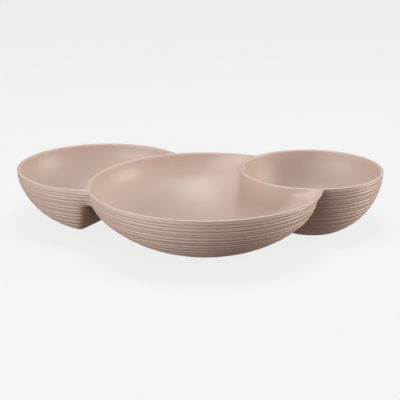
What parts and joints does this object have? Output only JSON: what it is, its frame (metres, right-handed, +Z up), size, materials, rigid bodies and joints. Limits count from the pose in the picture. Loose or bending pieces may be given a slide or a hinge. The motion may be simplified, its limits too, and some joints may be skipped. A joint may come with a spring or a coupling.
{
  "type": "chip and dip server",
  "caption": "Table server made of overlapping ribbed bowls with one rim height: a large chip bowl, a medium side bowl and a small full-round dip bowl.",
  "frame": {"origin": "middle of the overall box, on the table plane that the feet stand on", "axes": "+Z up; +X from the side bowl towards the dip bowl, the longest extent; +Y to the back, away from the chip bowl's free rim"},
  "size_m": [0.38, 0.2716, 0.062],
  "materials": {
    "taupe_plastic": "satin, smooth inside and ribbed outside"
  },
  "bodies": {
    "root": {"chip_bowl": "taupe_plastic", "dip_bowl": "taupe_plastic", "side_bowl": "taupe_plastic"}
  },
  "joints": []
}
